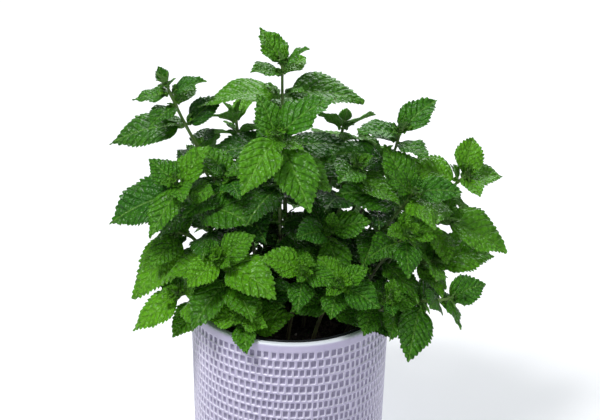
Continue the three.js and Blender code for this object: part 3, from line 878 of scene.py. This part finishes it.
def add_crumb(parts, centre, size, white):
    """A small lump: a ball of quads pushed in and out, and flattened."""
    rows = 6
    around = 8
    pole = 0.08  # radians that are left open at each end
    polar = np.linspace(pole, np.pi - pole, rows)
    angles = np.arange(around) * 2 * np.pi / around
    ball = np.stack(
        [
            np.sin(polar)[:, None] * np.cos(angles),
            np.sin(polar)[:, None] * np.sin(angles),
            np.repeat(np.cos(polar)[:, None], around, axis=1),
        ],
        axis=-1,
    ).reshape(-1, 3)
    ball *= rng.uniform(0.7, 1.2, (len(ball), 1))
    stretch = np.array([1, 1, 1]) if white else rng.uniform([0.8, 0.5, 0.35], [1.8, 1.0, 0.7])
    turn = rng.uniform(0, 2 * math.pi)
    flat = ball * stretch * size
    c = math.cos(turn)
    s = math.sin(turn)
    flat = flat @ np.array([[c, s, 0], [-s, c, 0], [0, 0, 1]])
    quads = grid_quads(rows, around, closed=True)[:, ::-1]
    parts.add(
        flat + centre,
        quads,
        bake_uv=parts.cell(grid_uv(rows, around, closed=True)[:, ::-1]),
        material_of=np.full(len(quads), 1 if white else 0),
    )


# ---- Materials ----


def opaque(colour):
    """A plain colour with its alpha; another node's output stays as it is."""
    return (*colour, 1) if isinstance(colour, tuple) else colour


class Nodes:
    """A material's node tree, with short ways to add and join nodes."""

    def __init__(self, name):
        self.material = bpy.data.materials.new(name)
        self.material.use_nodes = True
        self.tree = self.material.node_tree
        self.tree.nodes.clear()
        self.output = self.tree.nodes.new("ShaderNodeOutputMaterial")

    def put(self, socket, value):
        """A value or another node's output goes into a socket."""
        if isinstance(value, bpy.types.NodeSocket):
            self.tree.links.new(value, socket)
        elif value is not None:
            socket.default_value = value

    def node(self, kind, inputs=None, **settings):
        made = self.tree.nodes.new(kind)
        for key, value in settings.items():
            setattr(made, key, value)
        for key, value in (inputs or {}).items():
            self.put(made.inputs[key], value)
        return made

    def number(self, name):
        """A number that the mesh keeps at each vertex, under this name."""
        return self.node("ShaderNodeAttribute", attribute_name=name).outputs["Fac"]

    def vector(self, name):
        return self.node("ShaderNodeAttribute", attribute_name=name).outputs["Vector"]

    def math(self, operation, a, b=None):
        made = self.node("ShaderNodeMath", operation=operation)
        self.put(made.inputs[0], a)
        self.put(made.inputs[1], b)
        return made.outputs[0]

    def spread(self, value, low, high, to_low=0.0, to_high=1.0):
        """value taken from one range to another, smoothly and no further."""
        made = self.node("ShaderNodeMapRange", interpolation_type="SMOOTHSTEP")
        for key, number in {"Value": value, 1: low, 2: high, 3: to_low, 4: to_high}.items():
            self.put(made.inputs[key], number)
        return made.outputs[0]

    def mix(self, share, a, b):
        """Two colours mixed."""
        made = self.node("ShaderNodeMix", data_type="RGBA")
        self.put(made.inputs[0], share)
        self.put(made.inputs[6], opaque(a))
        self.put(made.inputs[7], opaque(b))
        return made.outputs[2]

    def noise(self, where, scale, detail=3.0, roughness=0.5):
        inputs = {"Vector": where, "Scale": scale, "Detail": detail, "Roughness": roughness}
        return self.node("ShaderNodeTexNoise", inputs).outputs["Fac"]

    def cells(self, where, scale, feature="SMOOTH_F1"):
        inputs = {"Vector": where, "Scale": scale}
        return self.node("ShaderNodeTexVoronoi", inputs, feature=feature).outputs["Distance"]

    def bump(self, height, distance, strength=1.0, under=None):
        inputs = {"Height": height, "Distance": distance, "Strength": strength}
        made = self.node("ShaderNodeBump", inputs)
        if under is not None:
            self.put(made.inputs["Normal"], under)
        return made.outputs[0]

    def principled(self, **inputs):
        """The surface shader. base_color is its input Base Color, and so on."""
        named = {k.replace("_", " ").title().replace("Ior", "IOR"): v for k, v in inputs.items()}
        return self.node("ShaderNodeBsdfPrincipled", named).outputs[0]

    def finish(self, shader):
        self.tree.links.new(shader, self.output.inputs["Surface"])
        return self.material


def vein_lines(n, veins, sharpness):
    """1 on the side veins and 0 between them, from the count of veins along the leaf."""
    folded = n.math("PINGPONG", veins, 0.5)
    return n.spread(folded, 0.0, sharpness, 1.0, 0.0)


def leaf_material(name, underside):
    """Green leaf tissue that lets some light through, with veins, fine cells with painted shade in
    their hollows, old leaves darker partly as painted shade, and a soft gloss. Its place on the
    leaf is in millimetres from the midrib and from the stalk's foot, more on a small leaf, with a
    third number that differs from leaf to leaf."""
    n = Nodes(name)
    place = n.vector("place")
    young = n.number("young")
    tint = n.number("tint")
    across = n.number("across")
    lines = vein_lines(n, n.number("veins"), 0.16)
    split = n.node("ShaderNodeSeparateXYZ", {"Vector": place})
    off_rib = n.math("ABSOLUTE", split.outputs["X"])
    rib = n.spread(off_rib, 0.25, 0.75, 1.0, 0.0)
    cells = n.cells(place, 0.5)
    fine = n.cells(place, 1.4)
    patches = n.noise(place, 0.09)

    # Leaves far below a growing tip, inside the plant, get this darker colour: partly as older
    # leaves, partly as painted shade.
    old_and_shaded = n.mix(tint, (0.006, 0.048, 0.006), (0.034, 0.175, 0.003))
    fresh = n.mix(tint, (0.040, 0.210, 0.006), (0.160, 0.500, 0.008))
    colour = n.mix(young, old_and_shaded, fresh)
    colour = n.mix(n.spread(patches, 0.4, 0.7, 0.0, 0.25), colour, (0.090, 0.32, 0.004))
    if underside:
        colour = n.mix(0.5, colour, (0.18, 0.36, 0.09))
        colour = n.mix(n.math("MULTIPLY", lines, 0.45), colour, (0.30, 0.46, 0.16))
        colour = n.mix(n.math("MULTIPLY", rib, 0.7), colour, (0.3, 0.4, 0.17))
    else:
        # Painted shade: the hollows between the puffed cells are darkened.
        hollow_shade = n.spread(cells, 0.35, 0.72, 0.0, 0.5)
        colour = n.mix(hollow_shade, colour, (0.008, 0.055, 0.003))
        vein = n.mix(n.spread(tint, 0.4, 0.8), (0.010, 0.060, 0.004), (0.210, 0.480, 0.040))
        colour = n.mix(n.math("MULTIPLY", lines, 0.34), colour, vein)
        colour = n.mix(n.math("MULTIPLY", rib, 0.5), colour, (0.22, 0.48, 0.07))
        colour = n.mix(n.spread(across, 0.95, 1.0, 0.0, 0.2), colour, (0.16, 0.32, 0.06))

    height = n.math("SUBTRACT", n.spread(cells, 0.1, 0.8, 1.0, 0.0), n.math("MULTIPLY", lines, 0.8))
    relief = n.bump(height, (-0.6 if underside else 0.9) * MM)
    relief = n.bump(fine, 0.12 * MM, 0.6, under=relief)
    gloss = n.spread(n.noise(place, 0.6), 0.3, 0.7, 0.26, 0.42)
    skin = n.principled(
        base_color=colour,
        roughness=0.62 if underside else gloss,
        normal=relief,
        specular_ior_level=0.34,
        sheen_weight=0.12 if underside else 0.03,
        sheen_roughness=0.4,
    )
    through = n.mix(0.35, colour, (0.30, 0.70, 0.03))
    glow = n.node("ShaderNodeBsdfTranslucent", {"Color": through, "Normal": relief}).outputs[0]
    return n.finish(n.node("ShaderNodeMixShader", {0: 0.22, 1: skin, 2: glow}).outputs[0])


def stem_material():
    """Green at the tip, purple brown lower down, with lighter ridges and a faint grain."""
    n = Nodes("mint_stem")
    where = n.node("ShaderNodeTexCoord").outputs["Object"]
    height = n.number("height")
    grain = n.noise(where, 900, 4)
    patches = n.noise(where, 120)
    mixed = n.math("ADD", height, n.spread(patches, 0.3, 0.7, -0.22, 0.22))
    colour = n.mix(n.spread(mixed, 0.3, 0.9), (0.032, 0.018, 0.013), (0.10, 0.22, 0.03))
    colour = n.mix(n.math("MULTIPLY", n.number("ridge"), 0.3), colour, (0.2, 0.25, 0.08))
    colour = n.mix(n.spread(n.number("swollen"), 0.1, 0.28, 0.0, 0.4), colour, (0.14, 0.22, 0.06))
    relief = n.bump(grain, 0.15 * MM, 0.7)
    gloss = n.spread(grain, 0.3, 0.7, 0.4, 0.6)
    return n.finish(n.principled(base_color=colour, roughness=gloss, normal=relief))


def glaze_material():
    """Pale lavender glaze: darker in the recesses, partly where it pools and partly as painted
    shade, with painted highlights round their edges, and thinning to white at the lip.
    """
    n = Nodes("lavender_glaze")
    where = n.node("ShaderNodeTexCoord").outputs["Object"]
    pool = n.number("pool")
    clouds = n.noise(where, 28, 4)
    specks = n.noise(where, 420, 2)
    colour = n.mix(n.spread(clouds, 0.3, 0.7), (0.49, 0.455, 0.65), (0.56, 0.52, 0.71))
    # Darker in the recesses: partly glaze pooling, partly painted shade.
    colour = n.mix(n.spread(pool, 0.15, 1.0, 0.0, 0.8), colour, (0.26, 0.24, 0.36))
    # Painted highlights: a pale rim round each recess, where its edge catches the light.
    edges = n.math("MULTIPLY", n.spread(pool, 0.01, 0.12), n.spread(pool, 0.2, 0.6, 1.0, 0.0))
    colour = n.mix(n.math("MULTIPLY", edges, 0.8), colour, (0.86, 0.85, 0.96))
    colour = n.mix(n.number("lip"), colour, (0.80, 0.85, 0.93))
    colour = n.mix(n.spread(specks, 0.68, 0.78, 0.0, 0.25), colour, (0.4, 0.37, 0.5))
    relief = n.bump(n.noise(where, 160, 3), 0.12 * MM, 0.5)
    skin = n.principled(
        base_color=colour,
        roughness=n.spread(clouds, 0.3, 0.7, 0.4, 0.52),
        normal=relief,
        coat_weight=0.12,
        coat_roughness=0.2,
    )
    return n.finish(skin)


def plastic_material():
    """Black moulded plastic, scuffed and a little dusty with soil."""
    n = Nodes("black_plastic_moulded")
    where = n.node("ShaderNodeTexCoord").outputs["Object"]
    dust = n.noise(where, 60, 5, 0.65)
    flattened = n.node("ShaderNodeMapping", {"Vector": where, "Scale": (1, 1, 14)})
    scuffs = n.noise(flattened.outputs[0], 90, 3)
    colour = n.mix(n.spread(dust, 0.5, 0.72, 0.0, 0.35), (0.012, 0.016, 0.02), (0.07, 0.055, 0.045))
    relief = n.bump(scuffs, 0.08 * MM, 0.6)
    gloss = n.spread(scuffs, 0.3, 0.7, 0.28, 0.48)
    return n.finish(n.principled(base_color=colour, roughness=gloss, normal=relief))


def soil_material():
    """Damp potting mix: dark brown crumbs with lighter fibres."""
    n = Nodes("damp_potting_mix")
    where = n.node("ShaderNodeTexCoord").outputs["Object"]
    crumbs = n.cells(where, 420, "F1")
    fibres = n.noise(where, 700, 5, 0.7)
    colour = n.mix(n.spread(crumbs, 0.2, 0.8), (0.028, 0.017, 0.011), (0.009, 0.006, 0.004))
    colour = n.mix(n.spread(fibres, 0.58, 0.72, 0.0, 0.6), colour, (0.1, 0.06, 0.032))
    relief = n.bump(crumbs, -0.8 * MM, 0.9)
    relief = n.bump(fibres, 0.4 * MM, 0.8, under=relief)
    gloss = n.spread(fibres, 0.3, 0.7, 0.7, 0.95)
    return n.finish(n.principled(base_color=colour, roughness=gloss, normal=relief))


def grain_material():
    """The white mineral grains in the soil."""
    n = Nodes("white_grains")
    where = n.node("ShaderNodeTexCoord").outputs["Object"]
    pits = n.noise(where, 1500, 3)
    colour = n.mix(n.spread(pits, 0.4, 0.65), (0.42, 0.40, 0.36), (0.2, 0.17, 0.14))
    relief = n.bump(pits, 0.3 * MM)
    return n.finish(n.principled(base_color=colour, roughness=0.85, normal=relief))


def floor_material():
    """A pale, faintly mottled studio floor."""
    n = Nodes("pale_floor")
    where = n.node("ShaderNodeTexCoord").outputs["Object"]
    colour = n.mix(n.noise(where, 1.5), (0.86, 0.87, 0.89), (0.88, 0.885, 0.9))
    return n.finish(n.principled(base_color=colour, roughness=0.7))


# ---- The object ----


def on_root(piece, slot, *nodes):
    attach(piece, "root")
    if nodes:
        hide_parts(*nodes)


leaf_sides = [leaf_material("mint_leaf_upper", False), leaf_material("mint_leaf_underside", True)]
stem_skin = stem_material()
for node in sorted(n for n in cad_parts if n.startswith("sprig_")):
    leaves, stem = read_sprig(node)
    on_root(sprig_leaves(f"{node}_leaves", leaves, stem, leaf_sides), "mint", node)
    on_root(sprig_stem(f"{node}_stem", stem, leaves, stem_skin), "mint", node)

on_root(cover_pot(glaze_material()), "glaze", "cover_pot")
on_root(nursery_pot(plastic_material()), "black_plastic", "nursery_pot")
on_root(soil([soil_material(), grain_material()]), "potting_soil", "soil")


# ---- Floor, light and camera ----

FLOOR_SIZE = 12.0
AIM = Vector((5.3 * MM, 0, 190 * MM))
CAMERA_DISTANCE = 0.8
CAMERA_ELEVATION = math.radians(22)
CAMERA_ROLL = math.radians(1.22)
CAMERA_LENS = 72.3
SKY_COLOUR = (0.93, 0.96, 1.0, 1)
SKY_STRENGTH = 0.22


def add_floor():
    half = FLOOR_SIZE / 2
    corners = half * np.array([[-1, -1, 0], [1, -1, 0], [1, 1, 0], [-1, 1, 0]])
    floor = new_mesh("floor", corners, np.array([[0, 1, 2, 3]]), [floor_material()])


def add_light(name, place, size, watts, colour):
    """A soft square light that points at the plant."""
    data = bpy.data.lights.new(name, "AREA")
    data.size = size
    data.energy = watts
    data.color = colour
    light = bpy.data.objects.new(name, data)
    light.location = place
    light.rotation_euler = (AIM - Vector(place)).to_track_quat("-Z", "Y").to_euler()
    bpy.context.scene.collection.objects.link(light)


def add_sky():
    world = bpy.data.worlds.new("studio")
    bpy.context.scene.world = world
    world.use_nodes = True
    background = world.node_tree.nodes["Background"]
    background.inputs["Color"].default_value = SKY_COLOUR
    background.inputs["Strength"].default_value = SKY_STRENGTH


def add_camera():
    """A camera that looks at AIM from the front and above, rolled a little."""
    data = bpy.data.cameras.new("camera")
    data.lens = CAMERA_LENS
    data.sensor_width = 36
    data.clip_start = 0.05
    camera = bpy.data.objects.new("camera", data)
    down = Matrix.Rotation(math.pi / 2 - CAMERA_ELEVATION, 3, "X")
    turn = down @ Matrix.Rotation(CAMERA_ROLL, 3, "Z")
    camera.rotation_euler = turn.to_euler()
    camera.location = AIM + turn @ Vector((0, 0, CAMERA_DISTANCE))
    bpy.context.scene.collection.objects.link(camera)
    bpy.context.scene.camera = camera


add_floor()
add_sky()
add_light("key", (-0.7, -0.6, 1.5), 0.5, 22, (1.0, 0.99, 0.97))
add_light("back", (0.4, 2.0, 2.0), 2.0, 74, (0.97, 0.99, 1.0))
add_light("fill", (0.9, -1.2, 0.9), 1.2, 4, (1.0, 1.0, 1.0))
add_camera()
bpy.context.scene.view_settings.view_transform = "Standard"
